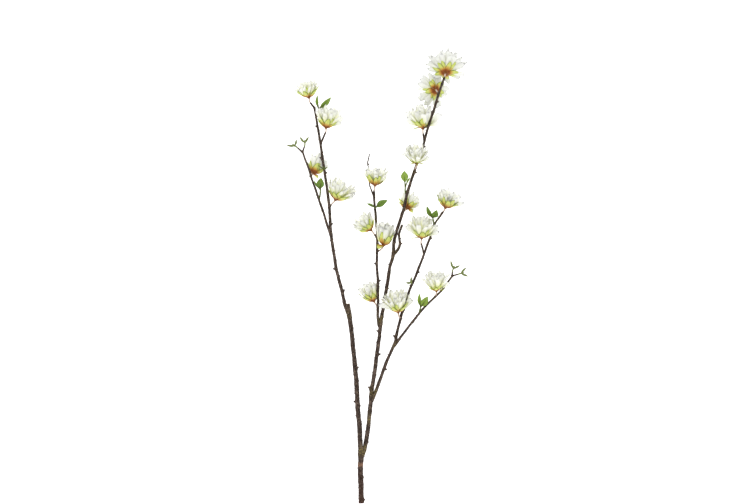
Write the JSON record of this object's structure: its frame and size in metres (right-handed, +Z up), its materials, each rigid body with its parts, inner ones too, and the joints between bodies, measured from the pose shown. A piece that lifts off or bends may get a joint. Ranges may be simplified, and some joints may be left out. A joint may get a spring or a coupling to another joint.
{
  "type": "flowering branch",
  "caption": "Cut branch with dark knobbly stems, star-shaped white blossoms in yellow-green calyces, small leaves and green bud sprouts, lying on a flat surface.",
  "frame": {"origin": "centre of the bounding box in plan, on the surface that the branch lies on", "axes": "+Y along the branch from the cut foot to the blossoms, +X to the right seen from above, +Z up"},
  "size_m": [0.4823, 1.2003, 0.1108],
  "materials": {
    "bark": "rough dark bark",
    "petal": "matt, slightly translucent, white with a lime base",
    "calyx": "satin, yellow-green with an orange-brown base",
    "leaf": "satin green with a pale midrib",
    "sprout": "matt olive green"
  },
  "bodies": {
    "root": {"branch": "bark", "bloom_01_petals": "petal", "bloom_02_petals": "petal", "bloom_03_petals": "petal", "bloom_04_petals": "petal", "bloom_05_petals": "petal", "bloom_06_petals": "petal", "bloom_07_petals": "petal", "bloom_08_petals": "petal", "bloom_09_petals": "petal", "bloom_10_petals": "petal", "bloom_11_petals": "petal", "bloom_12_petals": "petal", "bloom_13_petals": "petal", "bloom_14_petals": "petal", "bloom_15_petals": "petal", "bloom_16_petals": "petal", "bloom_17_petals": "petal", "bloom_01_calyx": "calyx", "bloom_02_calyx": "calyx", "bloom_03_calyx": "calyx", "bloom_04_calyx": "calyx", "bloom_05_calyx": "calyx", "bloom_06_calyx": "calyx", "bloom_07_calyx": "calyx", "bloom_08_calyx": "calyx", "bloom_09_calyx": "calyx", "bloom_10_calyx": "calyx", "bloom_11_calyx": "calyx", "bloom_12_calyx": "calyx", "bloom_13_calyx": "calyx", "bloom_14_calyx": "calyx", "bloom_15_calyx": "calyx", "bloom_16_calyx": "calyx", "bloom_17_calyx": "calyx", "leaf_shoot_1": "leaf", "leaf_shoot_2": "leaf", "leaf_shoot_3": "leaf", "leaf_shoot_4": "leaf", "leaf_shoot_5": "leaf", "leaf_shoot_6": "leaf", "sprout_1": "sprout", "sprout_2": "sprout", "sprout_3": "sprout", "sprout_4": "sprout", "sprout_5": "sprout", "sprout_6": "sprout"}
  },
  "joints": []
}
